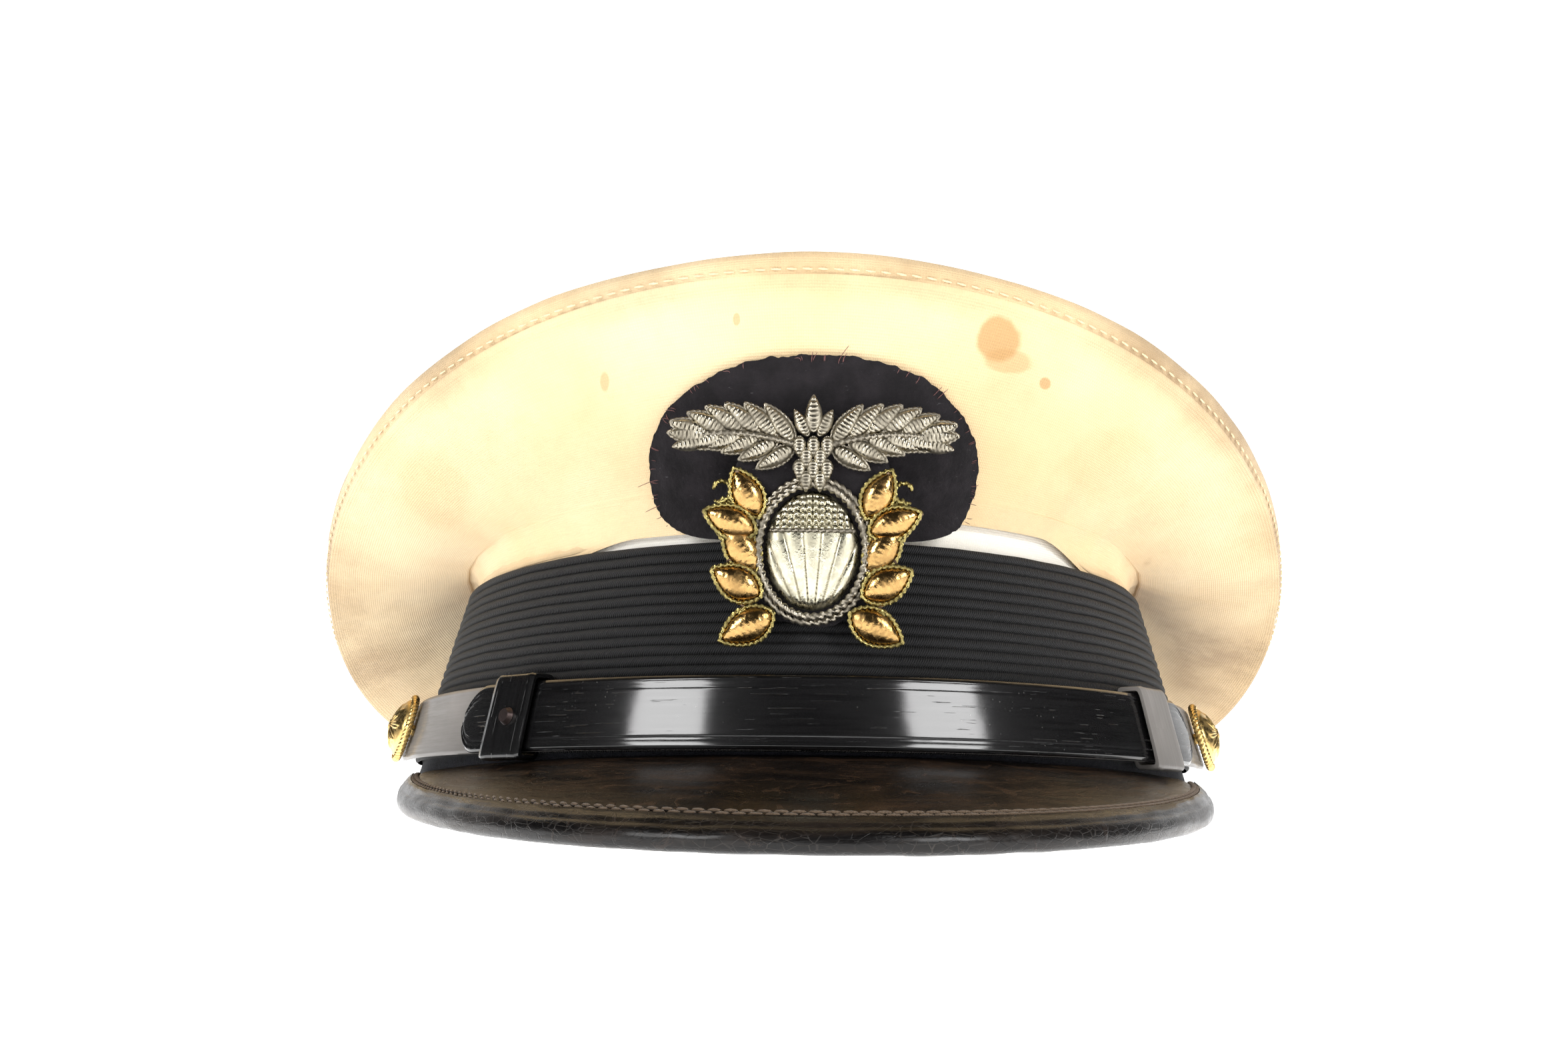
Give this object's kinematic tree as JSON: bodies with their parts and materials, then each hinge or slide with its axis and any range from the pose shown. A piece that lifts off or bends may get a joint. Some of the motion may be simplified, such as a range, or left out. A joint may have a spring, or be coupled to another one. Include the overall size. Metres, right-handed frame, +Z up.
{
  "type": "peaked cap",
  "caption": "Military peaked cap with a lift-off cotton cover, ribbed braid band, leather chin strap, embroidered badge and bound leather visor.",
  "frame": {"origin": "middle of the head opening, in the plane of the band's lower edge", "axes": "+Z up through the crown, -Y towards the visor, +X towards the wearer's left"},
  "size_m": [0.2218, 0.293, 0.097],
  "materials": {
    "cover_cotton": "plain-woven khaki cotton, matt",
    "braid_mohair": "ribbed black mohair braid",
    "wool_cloth": "black-navy wool cloth, matt",
    "stand_cotton": "white stiffened cotton",
    "patent_leather": "black patent leather, glossy and scratched",
    "visor_leather": "worn brown-black leather, half gloss",
    "visor_board": "pressed board",
    "visor_green": "dark green underside leather",
    "sweat_leather": "tan leather",
    "lining_cloth": "light sateen",
    "shield_film": "clear yellowed film",
    "ribbon": "black ribbon",
    "gilt_brass": "gilt brass with dark patina in the hollows",
    "steel_wire": "bright spring wire",
    "silver_bullion": "silver metal thread",
    "gold_bullion": "gold metal thread"
  },
  "bodies": {
    "frame": {"sweatband": "sweat_leather", "sweatband_piping": "sweat_leather", "sweatband_bow": "ribbon", "stand_ring": "stand_cotton", "front_stay": "steel_wire", "wool_band": "wool_cloth", "braid_band": "braid_mohair", "braid_join": "braid_mohair", "lining": "lining_cloth", "sweat_shield": "shield_film", "visor_top": "visor_leather", "visor_board": "visor_board", "visor_lining": "visor_green", "visor_binding": "patent_leather", "strap_left": "patent_leather", "strap_right": "patent_leather", "strap_front": "patent_leather", "button_washers": "gilt_brass", "badge_patch": "wool_cloth", "badge_pad": "wool_cloth", "badge_boss": "silver_bullion", "badge_rope": "silver_bullion", "badge_sprays": "silver_bullion", "badge_wreath": "gold_bullion"},
    "cover": {"crown_top": "cover_cotton", "front_panel": "cover_cotton", "quarter_left": "cover_cotton", "quarter_right": "cover_cotton", "cover_hem": "cover_cotton", "grommet_wire": "steel_wire", "grommet_sleeve": "gilt_brass"},
    "left_keeper": {"keeper_left": "patent_leather"},
    "right_keeper": {"keeper_right": "patent_leather", "keeper_stud": "gilt_brass"},
    "left_button": {"button_left": "gilt_brass", "shank_left": "gilt_brass", "pin_left": "gilt_brass"},
    "right_button": {"button_right": "gilt_brass", "shank_right": "gilt_brass", "pin_right": "gilt_brass"}
  },
  "joints": [
    {"name": "cover_lift", "type": "slide", "parent": "frame", "child": "cover", "axis": [0, 0, 1], "range_m": [0, 0.12]},
    {"name": "left_keeper_slide", "type": "hinge", "parent": "frame", "child": "left_keeper", "pos_m": [-0.01931, -0.0138, 0.0122], "axis": [0, 0, 1], "range_deg": [-4, 4]},
    {"name": "right_keeper_slide", "type": "hinge", "parent": "frame", "child": "right_keeper", "pos_m": [0.01008, -0.0223, 0.0122], "axis": [0, 0, 1], "range_deg": [-4, 4]},
    {"name": "left_button_turn", "type": "hinge", "parent": "frame", "child": "left_button", "pos_m": [0.08056, -0.0452, 0.0122], "axis": [0.9131, -0.3226, 0.2493], "continuous": true},
    {"name": "right_button_turn", "type": "hinge", "parent": "frame", "child": "right_button", "pos_m": [-0.08056, -0.0452, 0.0122], "axis": [-0.9131, -0.3226, 0.2493], "continuous": true}
  ]
}
